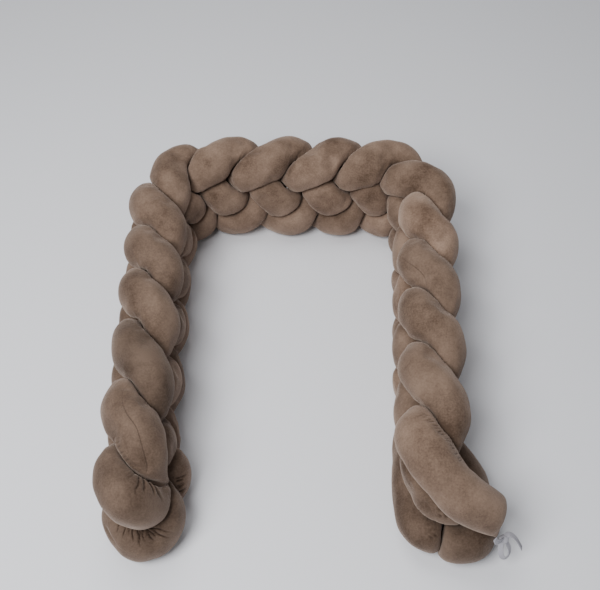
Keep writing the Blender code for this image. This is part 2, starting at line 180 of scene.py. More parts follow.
@dataclass(frozen=True)
class PlaitPlan:
    """The plait's middle line on the plan, its lean and its even four-strand weave."""

    height: float = 0.197
    edge_reach: float = 0.0375
    edge_height: float = 0.0355
    weave_depth: float = 0.018
    third_share: float = -0.12
    strands: int = 4
    start: tuple[float, float] = (-0.2445, 0.460)
    heading: float = 90.3
    stride: float = 0.002
    lean_blend: float = 0.12
    lobe_blend: float = 0.035
    path_gap: float = 0.018
    parts: Rows = (
        # length, degrees of right turn, degrees that the upper edge leans out
        (0.640, 0.0, 0.0),
        (0.158, 91.5, 6.0),
        (0.300, 0.0, 8.0),
        (0.157, 93.3, 6.0),
        (0.700, 0.0, 0.0),
    )
    lobes: tuple[float, ...] = (
        0.072, 0.165, 0.283, 0.400, 0.503, 0.602, 0.705, 0.805, 0.911,
        1.013, 1.107, 1.207, 1.318, 1.431, 1.538, 1.656, 1.790,
    )
    table: dict[str, np.ndarray] = field(default_factory=dict)

    def __post_init__(self) -> None:
        """Walk the plan once and keep its table."""
        self.table.update(self.walk())
        self.table.update(self.count_lobes())

    @property
    def swing(self) -> float:
        """Half the height between the highest and the lowest centreline."""
        return (self.height - self.edge_reach - self.edge_height) / 2

    @property
    def middle(self) -> float:
        """Height of the plait's middle."""
        return self.edge_height + self.swing

    def walk(self) -> dict[str, np.ndarray]:
        """Walk along the plan.

        Returns:
            Lengths, points, headings and leans along the way.
        """
        heading = math.radians(self.heading)
        point = np.array(self.start)
        points, headings, lengths, leans = [point], [heading], [0.0], [self.parts[0][2]]
        for length, turn, lean in self.parts:
            count = max(1, round(length / self.stride))
            stride = length / count
            bend = -math.radians(turn) / count
            for _ in range(count):
                middle = heading + bend / 2
                point = point + stride * np.array((math.cos(middle), math.sin(middle)))
                heading += bend
                points.append(point)
                headings.append(heading)
                lengths.append(lengths[-1] + stride)
                leans.append(lean)
        lean = np.radians(smooth(np.array(leans), round(self.lean_blend / self.stride)))
        return {
            "length": np.array(lengths),
            "point": np.array(points),
            "heading": np.array(headings),
            "lean": lean,
        }

    def count_lobes(self) -> dict[str, np.ndarray]:
        """Give lengths along the plan with the smooth lobe count reached at each.

        Returns:
            The lengths and the counts, each under its name.
        """
        lobes = np.array(self.lobes)
        spare = np.arange(1, 4)
        before = lobes[0] - (lobes[1] - lobes[0]) * spare[::-1]
        after = lobes[-1] + (lobes[-1] - lobes[-2]) * spare
        places = np.concatenate((before, lobes, after))
        lengths = np.arange(places[0], places[-1], LINE_STEP)
        counts = np.interp(lengths, places, np.arange(-len(spare), len(lobes) + len(spare)))
        return {"scale": lengths, "count": smooth(counts, round(self.lobe_blend / LINE_STEP))}

    def length_of(self, count: float) -> float:
        """Give the length along the plan at a lobe count."""
        return float(np.interp(count, self.table["count"], self.table["scale"]))

    def place(self, length: np.ndarray, inward: np.ndarray, height: np.ndarray) -> np.ndarray:
        """Turn plait coordinates into points.

        Args:
            length: Along the plan from the left end.
            inward: Depth to the inside of the U.
            height: Above the resting plane.

        Returns:
            One point to a row.
        """
        point = self.table["point"]
        x = np.interp(length, self.table["length"], point[:, 0])
        y = np.interp(length, self.table["length"], point[:, 1])
        heading = np.interp(length, self.table["length"], self.table["heading"])
        lean = np.interp(length, self.table["length"], self.table["lean"])
        depth = inward - np.tan(lean) * (height - self.middle)
        return np.stack((x + depth * np.sin(heading), y - depth * np.cos(heading), height), -1)

    def woven_path(self, strand: int, first: float, last: float) -> np.ndarray:
        """Give a strand's centreline points between two lobe counts of the even weave.

        Args:
            strand: Number of the strand, from 0 to 3.
            first: Lobe count at which the points start.
            last: Lobe count at which they stop.

        Returns:
            One point to a row.
        """
        start, stop = self.length_of(first), self.length_of(last)
        length = np.linspace(start, stop, round((stop - start) / self.path_gap) + 1)
        count = np.interp(length, self.table["scale"], self.table["count"])
        turn = 2 * math.pi / self.strands * (count - strand)
        inward = -self.weave_depth * (np.sin(3 * turn) + self.third_share * np.sin(turn))
        return self.place(length, inward, self.middle + self.swing * np.cos(turn))

    def nearest(self, points: np.ndarray) -> tuple[np.ndarray, np.ndarray]:
        """Find where points lie along the plan.

        Args:
            points: One point to a row.

        Returns:
            Lengths along the plan and the directions across it, towards the inside.
        """
        gap = np.linalg.norm(points[:, None, :2] - self.table["point"][None], axis=2)
        row = gap.argmin(1)
        heading = self.table["heading"][row]
        return self.table["length"][row], np.stack((np.sin(heading), -np.cos(heading), 0 * row), 1)


@dataclass(frozen=True)
class SewnEnd:
    """One closed end of a tube."""

    run: float
    half_seam: float
    direction: Triple
    narrowing: float = 0.10


@dataclass(frozen=True)
class SeamTurn:
    """Direction in which a tube's lengthwise seam faces near one place of its centreline."""

    place: Triple
    facing: Triple


@dataclass(frozen=True)
class NapAndShadeTone:
    """How light the pile looks near one place of a tube's centreline: partly from the way the nap lies there,
    partly painted light and shade on the lobe, such as a neighbour's shadow.
    """

    place: Triple
    tone: float


@dataclass(frozen=True)
class CreaseShape:
    """What all small creases have in common."""

    scatter: float = 0.3
    wander: float = 0.0007
    wander_length: float = 0.0035
    start: tuple[float, float] = (-0.004, 0.001)
    fade_from: float = 0.5
    lengths: tuple[float, float] = (0.55, 1.1)
    strengths: tuple[float, float] = (0.6, 1.0)
    lip_share: float = 0.35
    lip_width: float = 2.3
    levels: tuple[float, float] = (0.018, 0.026)

    def lane(self, run: np.ndarray, stop: float) -> np.ndarray:
        """Ease a crease in and out along its run."""
        return ramp(run, *self.start) * (1 - ramp(run, self.fade_from * stop, stop))

    def profile(self, beside: np.ndarray, width: float) -> np.ndarray:
        """Give the groove and its two lips across a crease."""
        narrow = np.exp(-(beside / width) ** 2)
        return narrow - self.lip_share * np.exp(-(beside / (self.lip_width * width)) ** 2)


@dataclass(frozen=True)
class CreaseRow:
    """A row or fan of small creases that gathered cloth makes at one spot of the skin."""

    first: Triple
    last: Triple
    facing: Triple
    heading: Triple
    spread: float
    count: int
    length: float
    depth: float
    width: float
    seed: int = 0
    # How strongly painted shade darkens this row's creases.
    dark: float = 1.0
    shape: CreaseShape = CreaseShape()

    @property
    def middle(self) -> np.ndarray:
        """Point halfway along the row."""
        return (np.array(self.first) + np.array(self.last)) / 2

    @property
    def reach(self) -> float:
        """Distance from the middle within which the row's creases lie."""
        return float(np.linalg.norm(np.array(self.last) - np.array(self.first)) / 2 + self.length)

    def depth_at(self, points: np.ndarray) -> np.ndarray:
        """Give how far the creases move the skin outwards.

        Args:
            points: Places on the skin, one to a row.

        Returns:
            One value for each place, below zero in a crease.
        """
        shape = self.shape
        facing = unit(np.array(self.facing))
        heading = np.array(self.heading)
        heading = unit(heading - facing * (heading @ facing))
        across = np.cross(facing, heading)
        random = np.random.default_rng(self.seed)
        total = np.zeros(len(points))
        for number in range(self.count):
            share = (number + random.uniform(-shape.scatter, shape.scatter)) / max(self.count - 1, 1)
            turn = math.radians(self.spread) * (share - 0.5)
            ahead = heading * math.cos(turn) + across * math.sin(turn)
            offset = points - (1 - share) * np.array(self.first) - share * np.array(self.last)
            run = offset @ ahead
            beside = offset @ np.cross(facing, ahead)
            beside = beside + shape.wander * np.sin(run / shape.wander_length + random.uniform(0, 6))
            stop = self.length * random.uniform(*shape.lengths)
            strength = random.uniform(*shape.strengths)
            total -= strength * shape.lane(run, stop) * shape.profile(beside, self.width)
        level = np.abs((points - self.middle) @ facing)
        return self.depth * total * (1 - ramp(level, *shape.levels))


@dataclass(frozen=True)
class TubeCourse:
    """The course of one tube: sewn end, woven half, fold, woven half and sewn end."""

    first_end: Rows
    first_half: tuple[int, float, float]
    fold: Rows
    second_half: tuple[int, float, float]
    last_end: Rows
    ends: tuple[SewnEnd, SewnEnd]
    seams: tuple[SeamTurn, ...]
    nap_and_shade_tones: tuple[NapAndShadeTone, ...]
    creases: tuple[CreaseRow, ...]

    def line(self, plan: PlaitPlan) -> np.ndarray:
        """Give the tube's centreline at even steps.

        Args:
            plan: The plait that the tube is woven into.

        Returns:
            One point to a row.
        """
        parts = (
            np.array(self.first_end)[::-1],
            plan.woven_path(*self.first_half)[::-1],
            np.array(self.fold),
            plan.woven_path(*self.second_half),
            np.array(self.last_end),
        )
        return spline(np.concatenate(parts), LINE_STEP)


UPPER_COURSE = TubeCourse(
    first_end=(
        (0.190, 0.610, 0.041),
        (0.185, 0.570, 0.039),
        (0.188, 0.530, 0.039),
        (0.200, 0.508, 0.040),
        (0.218, 0.501, 0.042),
    ),
    first_half=(1, 1.05, 15.20),
    fold=(
        (-0.237, 0.614, 0.159),
        (-0.233, 0.597, 0.153),
        (-0.231, 0.580, 0.141),
        (-0.232, 0.565, 0.123),
        (-0.231, 0.549, 0.107),
        (-0.229, 0.533, 0.109),
        (-0.233, 0.523, 0.123),
        (-0.244, 0.523, 0.135),
        (-0.257, 0.536, 0.138),
        (-0.264, 0.556, 0.134),
        (-0.262, 0.577, 0.126),
    ),
    second_half=(0, 0.85, 15.45),
    last_end=(
        (0.187, 0.612, 0.150),
        (0.197, 0.568, 0.160),
        (0.222, 0.532, 0.155),
        (0.251, 0.509, 0.141),
        (0.297, 0.494, 0.115),
    ),
    ends=(
        SewnEnd(run=0.012, half_seam=0.026, direction=(0.00, 0.45, 0.90)),
        SewnEnd(run=0.045, half_seam=0.007, direction=(0.62, 0.78, 0.00)),
    ),
    seams=(
        SeamTurn((0.216, 0.689, 0.036), (0.0, 0.0, -1.0)),
        SeamTurn((0.233, 0.914, 0.160), (-0.60, -0.15, 0.80)),
        SeamTurn((0.244, 1.138, 0.036), (0.0, 0.0, -1.0)),
        SeamTurn((0.068, 1.204, 0.160), (0.05, -0.45, 0.90)),
        SeamTurn((-0.139, 1.207, 0.036), (0.0, 0.0, -1.0)),
        SeamTurn((-0.249, 1.062, 0.160), (0.55, -0.30, 0.78)),
        SeamTurn((-0.247, 0.859, 0.036), (0.0, 0.0, -1.0)),
        SeamTurn((-0.263, 0.683, 0.141), (0.20, 0.20, 0.93)),
        SeamTurn((-0.245, 0.626, 0.160), (0.05, -0.25, 0.95)),
        SeamTurn((-0.231, 0.580, 0.141), (0.35, -0.50, 0.80)),
        SeamTurn((-0.262, 0.560, 0.134), (0.30, 0.0, -0.95)),
        SeamTurn((-0.247, 0.963, 0.160), (0.0, 0.0, -1.0)),
        SeamTurn((-0.034, 1.206, 0.160), (0.0, 0.0, -1.0)),
        SeamTurn((0.243, 1.026, 0.160), (0.0, 0.0, -1.0)),
        SeamTurn((0.205, 0.576, 0.160), (0.4, 0.0, -0.92)),
    ),
    # Tone of each lobe: partly the nap's lie, partly painted light and shade, such as a neighbour's shadow.
    nap_and_shade_tones=(
        NapAndShadeTone((0.188, 0.530, 0.039), 0.68),
        NapAndShadeTone((0.233, 0.914, 0.160), 0.84),
        NapAndShadeTone((0.068, 1.204, 0.160), 1.12),
        NapAndShadeTone((-0.139, 1.207, 0.036), 1.04),
        NapAndShadeTone((-0.249, 1.062, 0.160), 0.88),
        NapAndShadeTone((-0.247, 0.859, 0.036), 0.95),
        NapAndShadeTone((-0.245, 0.626, 0.160), 0.66),
        NapAndShadeTone((-0.244, 0.523, 0.135), 0.56),
        NapAndShadeTone((-0.247, 0.963, 0.160), 0.74),
        NapAndShadeTone((-0.034, 1.206, 0.160), 1.06),
        NapAndShadeTone((0.243, 1.026, 0.160), 1.28),
        NapAndShadeTone((0.222, 0.532, 0.155), 0.86),
    ),
    creases=(
        CreaseRow(first=(-0.228, 0.541, 0.160), last=(-0.212, 0.540, 0.150), facing=(0.35, -0.05, 0.90),
                  heading=(0.40, -0.88, 0.15), spread=50, count=4, length=0.034, depth=0.0040, width=0.0016,
                  seed=3),
        CreaseRow(first=(-0.262, 0.590, 0.181), last=(-0.230, 0.552, 0.161), facing=(-0.45, -0.70, 0.55),
                  heading=(-0.75, -0.10, -0.65), spread=6, count=10, length=0.008, depth=0.0020, width=0.0014,
                  seed=9),
        CreaseRow(first=(-0.220, 0.545, 0.145), last=(-0.217, 0.546, 0.141), facing=(0.85, -0.45, 0.25),
                  heading=(0.64, 0.20, -0.74), spread=2, count=1, length=0.075, depth=0.0080, width=0.0036,
                  seed=10, dark=0.35),
        CreaseRow(first=(0.190, 0.628, 0.190), last=(0.243, 0.558, 0.186), facing=(0.45, 0.32, 0.83),
                  heading=(-0.75, -0.50, 0.45), spread=8, count=15, length=0.013, depth=0.0028, width=0.0015,
                  seed=4),
        CreaseRow(first=(0.206, 0.512, 0.074), last=(0.210, 0.497, 0.060), facing=(-0.20, -0.70, 0.68),
                  heading=(-0.90, -0.30, -0.10), spread=40, count=4, length=0.020, depth=0.0022, width=0.0015,
                  seed=5),
    ),
)
LOWER_COURSE = TubeCourse(
    first_end=(
        (0.196, 0.569, 0.113),
        (0.207, 0.548, 0.100),
        (0.224, 0.534, 0.091),
        (0.244, 0.526, 0.087),
        (0.260, 0.520, 0.084),
    ),
    first_half=(3, 0.85, 15.75),
    fold=(
        (-0.263, 0.600, 0.046),
        (-0.250, 0.580, 0.057),
        (-0.228, 0.559, 0.066),
        (-0.212, 0.535, 0.058),
        (-0.219, 0.514, 0.042),
        (-0.240, 0.506, 0.035),
        (-0.260, 0.520, 0.034),
        (-0.265, 0.545, 0.034),
        (-0.246, 0.567, 0.034),
        (-0.222, 0.582, 0.036),
        (-0.207, 0.598, 0.043),
        (-0.224, 0.618, 0.063),
        (-0.257, 0.637, 0.090),
    ),
    second_half=(2, 1.30, 15.30),
    last_end=(
        (0.264, 0.592, 0.050),
        (0.271, 0.552, 0.043),
        (0.272, 0.516, 0.042),
        (0.256, 0.494, 0.042),
        (0.221, 0.495, 0.044),
    ),
    ends=(
        SewnEnd(run=0.030, half_seam=0.006, direction=(-0.20, 0.60, 0.75)),
        SewnEnd(run=0.012, half_seam=0.026, direction=(0.00, 0.45, 0.90)),
    ),
    seams=(
        SeamTurn((0.216, 0.689, 0.160), (0.0, 0.0, -1.0)),
        SeamTurn((0.244, 1.138, 0.160), (0.0, 0.0, -1.0)),
        SeamTurn((-0.139, 1.207, 0.160), (0.0, 0.0, -1.0)),
        SeamTurn((-0.247, 0.859, 0.160), (0.0, 0.0, -1.0)),
        SeamTurn((-0.262, 0.525, 0.034), (-0.80, -0.30, 0.55)),
        SeamTurn((-0.240, 0.506, 0.035), (-0.15, -0.90, 0.35)),
        SeamTurn((-0.216, 0.520, 0.045), (0.40, -0.60, -0.70)),
        SeamTurn((-0.246, 0.743, 0.160), (0.0, 0.0, -1.0)),
        SeamTurn((-0.232, 1.164, 0.160), (0.0, 0.0, -1.0)),
        SeamTurn((0.163, 1.200, 0.160), (0.0, 0.0, -1.0)),
        SeamTurn((0.225, 0.806, 0.160), (0.0, 0.0, -1.0)),
    ),
    # Tone of each lobe: partly the nap's lie, partly painted light and shade, such as a neighbour's shadow.
    nap_and_shade_tones=(
        NapAndShadeTone((0.224, 0.534, 0.091), 0.74),
        NapAndShadeTone((0.216, 0.689, 0.160), 0.82),
        NapAndShadeTone((0.244, 1.138, 0.160), 1.02),
        NapAndShadeTone((-0.139, 1.207, 0.160), 1.04),
        NapAndShadeTone((-0.247, 0.859, 0.160), 0.78),
        NapAndShadeTone((-0.240, 0.506, 0.035), 0.58),
        NapAndShadeTone((-0.207, 0.598, 0.043), 0.84),
        NapAndShadeTone((-0.246, 0.743, 0.160), 0.46),
        NapAndShadeTone((-0.232, 1.164, 0.160), 1.02),
        NapAndShadeTone((0.163, 1.200, 0.160), 1.06),
        NapAndShadeTone((0.225, 0.806, 0.160), 0.88),
        NapAndShadeTone((0.256, 0.494, 0.042), 0.60),
    ),
    creases=(
        CreaseRow(first=(-0.269, 0.511, 0.072), last=(-0.238, 0.498, 0.077), facing=(-0.10, -0.45, 0.88),
                  heading=(-0.05, -0.90, -0.43), spread=40, count=5, length=0.022, depth=0.0038, width=0.0014,
                  seed=6),
        CreaseRow(first=(-0.236, 0.498, 0.077), last=(-0.219, 0.500, 0.081), facing=(-0.20, -0.45, 0.87),
                  heading=(0.55, -0.75, -0.30), spread=65, count=6, length=0.034, depth=0.0042, width=0.0014,
                  seed=11),
        CreaseRow(first=(-0.188, 0.584, 0.071), last=(-0.185, 0.567, 0.056), facing=(0.45, -0.50, 0.75),
                  heading=(0.80, 0.50, -0.10), spread=18, count=5, length=0.020, depth=0.0044, width=0.0017,
                  seed=7),
        CreaseRow(first=(0.215, 0.508, 0.119), last=(0.223, 0.499, 0.106), facing=(-0.20, -0.75, 0.62),
                  heading=(-0.87, 0.48, -0.08), spread=18, count=4, length=0.024, depth=0.0030, width=0.0015,
                  seed=8),
    ),
)


@dataclass(frozen=True)
class Stuffing:
    """How a stuffed tube's section gives way to its neighbours, its bends and the surface under it."""

    radius: float = 0.035
    limit: float = 1.12
    half_width: float = 0.038
    half_depth: float = 0.034
    fill_share: float = 0.18
    fill_reach: float = 0.020
    bend_share: float = 0.92
    corner_power: float = 6.0
    gap: float = 0.0007
    same_bend: float = 0.11
    near: float = 0.17
    least_turn: float = 0.0001
    end_trim: float = 0.012
    end_blend: float = 0.06
    woven_start: float = 0.10
    woven_end: float = 1.79


@dataclass(frozen=True)
class Wrinkles:
    """Sizes of the unevenness that sewing, stuffing and bending give the cloth."""

    lump_depth: float = 0.0013
    lump_size: float = 0.048
    dent_depth: float = 0.0006
    dent_size: float = 0.020
    fold_depth: float = 0.0026
    fold_length: float = 0.013
    fold_width: float = 0.0028
    fold_from: float = 0.10
    fold_to: float = 0.75
    fold_starts: tuple[float, float] = (-0.25, 0.45)
    fold_strengths: tuple[float, float] = (0.15, 1.0)
    most_folds: int = 4000
    drift: float = 0.45
    broad_drift: tuple[float, float] = (0.7, 0.030)
    narrow_drift: tuple[float, float] = (0.3, 0.012)
    seam_depth: float = 0.0012
    seam_width: float = 0.0030
    pucker_depth: float = 0.0005
    pucker_length: float = 0.013
    pucker_reach: float = 3.5
    pucker_drift: float = 0.02
    seam_slopes: tuple[float, float] = (0.14, 0.42)
    # Crease depth at which the painted shade in a crease is full.
    full_shade_crease_depth: float = 0.0014
    crease_lip: float = 0.0009


def add_piece(name: str, mesh: bmesh.types.BMesh) -> bpy.types.Object:
    """Put a finished mesh into the scene as a piece at the origin.

    Args:
        name: The piece's name.
        mesh: Its mesh, which is used up.

    Returns:
        The new object.
    """
    data = bpy.data.meshes.new(name)
    mesh.to_mesh(data)
    mesh.free()
    item = bpy.data.objects.new(name, data)
    bpy.context.scene.collection.objects.link(item)
    LOG.info("%s: %d faces", name, len(data.polygons))
    return item


def wrap_grid(points: np.ndarray) -> bmesh.types.BMesh:
    """Wrap a grid round rings of points, its first and last column meeting.

    Args:
        points: Points of each ring, ring by ring.

    Returns:
        The wrapped grid, its columns not yet joined.
    """
    mesh = bmesh.new()
    rings, sides = points.shape[:2]
    bmesh.ops.create_grid(mesh, x_segments=sides, y_segments=rings - 1, size=1.0, calc_uvs=False)
    mesh.verts.ensure_lookup_table()
    for vertex, place in zip(mesh.verts, np.concatenate((points, points[:, :1]), 1).reshape(-1, 3)):
        vertex.co = place
    return mesh


def close_tube(mesh: bmesh.types.BMesh) -> None:
    """Join a wrapped grid's meeting columns and close its two ends.

    Args:
        mesh: The wrapped grid, which is changed in place.
    """
    bmesh.ops.remove_doubles(mesh, verts=mesh.verts, dist=0.000001)
    open_edges = [edge for edge in mesh.edges if edge.is_boundary]
    caps = bmesh.ops.holes_fill(mesh, edges=open_edges, sides=0)["faces"]
    bmesh.ops.poke(mesh, faces=caps)
    bmesh.ops.recalc_face_normals(mesh, faces=mesh.faces)
    for face in mesh.faces:
        face.smooth = True


@dataclass
class Skin:
    """The rings of one tube.

    Attributes:
        centres: Middle of each ring.
        spread: Outward directions of each ring's points.
        reach: Distance of each point from the middle.
        limits: Greatest distance before a neighbour or the tube's own bend.
        seam: Angle of the lengthwise seam on each ring.
        share: How clearly that seam shows on each ring.
        tones: How light the pile looks on each ring, partly from the nap's lie and partly painted light and
            shade.
    """

    centres: np.ndarray
    spread: np.ndarray
    reach: np.ndarray
    limits: np.ndarray
    seam: np.ndarray
    share: np.ndarray
    tones: np.ndarray

    @property
    def points(self) -> np.ndarray:
        """Points of each ring."""
        return self.centres[:, None] + self.spread * self.reach[..., None]


@dataclass(frozen=True)
class Settling:
    """A short cloth simulation that lets the cloth puff and gather between the spots that hold it."""

    frames: int = 8
    quality: int = 4
    pressure: float = 3.0
    slack: float = 0.02
    bending: float = 0.10
    swell: float = 0.0015
    swell_from: float = 0.006
    cap: float = 0.0040
    held_gap: float = 0.0012
    resting_height: float = 0.002
    mass: float = 0.2
    stretch: float = 12.0
    shear: float = 5.0
    damping: float = 2.0

    def let_go(self, skin: Skin) -> np.ndarray:
        """Simulate the cloth.

        Args:
            skin: The tube before it settles.

        Returns:
            The settled points of each ring, none of them moved further than the cap or into a neighbour.
        """
        free = skin.limits - skin.reach
        start = skin.reach - self.swell * ramp(free, 0.0, self.swell_from)
        points = skin.centres[:, None] + skin.spread * start[..., None]
        still = (free < self.held_gap) | (points[..., 2] < self.resting_height)
        moved = self.simulate(points, still)
        length = np.linalg.norm(moved, axis=2, keepdims=True)
        moved *= self.cap * np.tanh(length / self.cap) / np.maximum(length, 1e-9)
        outward = (moved * skin.spread).sum(2)
        over = np.maximum(start + outward - skin.limits, 0)
        LOG.info("settled by up to %.1f mm", 1000 * float(np.linalg.norm(moved, axis=2).max()))
        return points + moved - skin.spread * over[..., None]

    def simulate(self, points: np.ndarray, still: np.ndarray) -> np.ndarray:
        """Run the simulation on a cloth of its own, which is removed again.

        Args:
            points: Points of each ring.
            still: Which of them are held.

        Returns:
            How far each point moves.
        """
        rings, sides = points.shape[:2]
        mesh = wrap_grid(points)
        layer = mesh.verts.layers.int.new("spot")
        for vertex in mesh.verts:
            ring, side = divmod(vertex.index, sides + 1)
            vertex[layer] = ring * sides + side % sides
        close_tube(mesh)
        item = add_piece("settling_cloth", mesh)
        count = len(item.data.vertices)
        spots = np.zeros(count, dtype=int)
        item.data.attributes["spot"].data.foreach_get("value", spots)
        group = item.vertex_groups.new(name="held")
        held = np.flatnonzero(still.reshape(-1)[spots])
        group.add(held.tolist(), 1.0, "REPLACE")
        cloth = item.modifiers.new("settle", "CLOTH")
        self.set_cloth(cloth)
        for frame in range(1, self.frames + 1):
            bpy.context.scene.frame_set(frame)
        settled = item.evaluated_get(bpy.context.evaluated_depsgraph_get()).data
        after = np.zeros(3 * len(settled.vertices))
        settled.vertices.foreach_get("co", after)
        before = np.zeros(3 * count)
        item.data.vertices.foreach_get("co", before)
        moved = np.zeros((rings * sides, 3))
        moved[spots] = (after - before).reshape(-1, 3)
        bpy.data.objects.remove(item)
        bpy.context.scene.frame_set(1)
        return moved.reshape(rings, sides, 3)

    def set_cloth(self, cloth: bpy.types.ClothModifier) -> None:
        """Set the cloth's stiffness, slack and stuffing pressure.

        Args:
            cloth: Modifier that simulates the cloth.
        """
        settings = cloth.settings
        settings.quality = self.quality
        settings.mass = self.mass
        settings.tension_stiffness = self.stretch
        settings.compression_stiffness = self.stretch
        settings.shear_stiffness = self.shear
        settings.bending_stiffness = self.bending
        settings.air_damping = self.damping
        settings.use_pressure = True
        settings.uniform_pressure_force = self.pressure
        settings.shrink_min = -self.slack
        settings.vertex_group_mass = "held"
        settings.effector_weights.gravity = 0.0
        cloth.collision_settings.use_collision = False
        cloth.point_cache.frame_start = 1
        cloth.point_cache.frame_end = self.frames


def add_node(tree: bpy.types.NodeTree, kind: str, **values: object) -> bpy.types.ShaderNode:
    """Add a shader node.

    Args:
        tree: Tree that takes the node.
        kind: What the node is, without its first part ShaderNode.
        **values: The node's own settings, in lower case, and the values of its sockets.

    Returns:
        The node.
    """
    node = tree.nodes.new("ShaderNode" + kind)
    for name, value in values.items():
        if name.islower():
            setattr(node, name, value)
    for name, value in values.items():
        if not name.islower():
            node.inputs[name.replace("_", " ")].default_value = value
    return node


def opaque(colour: Sequence[float], share: float = 1.0) -> tuple[float, ...]:
    """Give a colour, or a share of it, with an alpha of one."""
    return (*(share * part for part in colour), 1.0)


def new_material(name: str) -> tuple[bpy.types.Material, bpy.types.NodeTree, bpy.types.ShaderNode]:
    """Start a material.

    Args:
        name: The material's name.

    Returns:
        The material, its node tree and its shader.
    """
    material = bpy.data.materials.new(name)
    material.use_nodes = True
    tree = material.node_tree
    return material, tree, tree.nodes["Principled BSDF"]


@dataclass
class ClothGroups:
    """Shader effects that both velvets share."""

    patch_scale: float = 13.0
    patch_limits: tuple[float, float] = (0.50, 0.86)
    grain_scale: float = 330.0
    grain_share: float = 0.35
    pile_scale: float = 900.0
    seam_reach: float = 0.0048  # as a share of the way round the cloth
    seam_shade: Triple = (0.66, 0.63, 0.61)
    # Colour that darkens the creases: painted shade.
    painted_crease_shade: Triple = (0.28, 0.24, 0.21)
    sunk_seam: float = -2.0
    nap: bpy.types.ShaderNodeTree | None = None

    def __post_init__(self) -> None:
        """Make the shared group."""
        self.nap = self.make_nap()

    def make_nap(self) -> bpy.types.ShaderNodeTree:
        """Make the nap group.

        Returns:
            Group with patches of pile that lie this way or that, a tone that is partly painted light and
            shade, seam line, painted shade in the creases and fine pile.
        """
        group = bpy.data.node_groups.new("velvet_nap_and_shade", "ShaderNodeTree")
        for name, way, kind in (
            ("Dark", "INPUT", "Color"),
            ("Light", "INPUT", "Color"),
            ("Shift", "INPUT", "Float"),
            ("Colour", "OUTPUT", "Color"),
            ("Height", "OUTPUT", "Float"),
        ):
            group.interface.new_socket(name, in_out=way, socket_type="NodeSocket" + kind)
        link = group.links.new
        given = group.nodes.new("NodeGroupInput").outputs
        result = group.nodes.new("NodeGroupOutput").inputs
        place = add_node(group, "TexCoord").outputs["Object"]

        patches = add_node(group, "TexNoise", noise_dimensions="4D", Scale=self.patch_scale)
        patches.inputs["Detail"].default_value = 5.0
        patches.inputs["Roughness"].default_value = 0.6
        link(place, patches.inputs["Vector"])
        link(given["Shift"], patches.inputs["W"])
        grain = add_node(group, "TexNoise", Scale=self.grain_scale, Detail=3.0, Roughness=0.7)
        link(place, grain.inputs["Vector"])
        mottle = add_node(group, "Math", operation="MULTIPLY_ADD")
        mottle.inputs[1].default_value = self.grain_share
        link(grain.outputs["Fac"], mottle.inputs[0])
        link(patches.outputs["Fac"], mottle.inputs[2])
        low, high = self.patch_limits
        spread = add_node(group, "MapRange", From_Min=low, From_Max=high)
        link(mottle.outputs["Value"], spread.inputs["Value"])
        tone = add_node(group, "Mix", data_type="RGBA")
        link(spread.outputs["Result"], tone.inputs["Factor"])
        link(given["Dark"], tone.inputs["A"])
        link(given["Light"], tone.inputs["B"])
        # The tone attribute lightens or darkens whole lobes: partly the nap's lie, partly painted light and
        # shade.
        lie = add_node(group, "Attribute", attribute_name="tone")
        lighter = add_node(group, "VectorMath", operation="SCALE")
        link(tone.outputs["Result"], lighter.inputs["Vector"])
        link(lie.outputs["Fac"], lighter.inputs["Scale"])

        cloth = add_node(group, "UVMap", uv_map="cloth")
        split = add_node(group, "SeparateXYZ")
        link(cloth.outputs["UV"], split.inputs["Vector"])
        wrap = add_node(group, "Math", operation="PINGPONG")
        wrap.inputs[1].default_value = 0.5
        link(split.outputs["Y"], wrap.inputs[0])
        line = add_node(group, "MapRange", From_Min=0.0, From_Max=self.seam_reach, To_Min=1.0, To_Max=0.0)
        link(wrap.outputs["Value"], line.inputs["Value"])
        shown = add_node(group, "Attribute", attribute_name="seam")
        faded = add_node(group, "Math", operation="MULTIPLY")
        link(line.outputs["Result"], faded.inputs[0])
        link(shown.outputs["Fac"], faded.inputs[1])
        darken = add_node(group, "Mix", data_type="RGBA", blend_type="MULTIPLY", B=opaque(self.seam_shade))
        link(faded.outputs["Value"], darken.inputs["Factor"])
        link(lighter.outputs["Vector"], darken.inputs["A"])

        # Painted shade: darken the colour where shade falls in the creases.
        crease = add_node(group, "Attribute", attribute_name="crease")
        shade = add_node(group, "Mix", data_type="RGBA", blend_type="MULTIPLY", B=opaque(self.painted_crease_shade))
        link(darken.outputs["Result"], shade.inputs["A"])
        link(crease.outputs["Fac"], shade.inputs["Factor"])
        link(shade.outputs["Result"], result["Colour"])

        pile = add_node(group, "TexNoise", Scale=self.pile_scale, Detail=2.0)
        link(place, pile.inputs["Vector"])
        height = add_node(group, "Math", operation="MULTIPLY_ADD")
        height.inputs[1].default_value = self.sunk_seam
        link(faded.outputs["Value"], height.inputs[0])
        link(pile.outputs["Fac"], height.inputs[2])
        link(height.outputs["Value"], result["Height"])
        return group


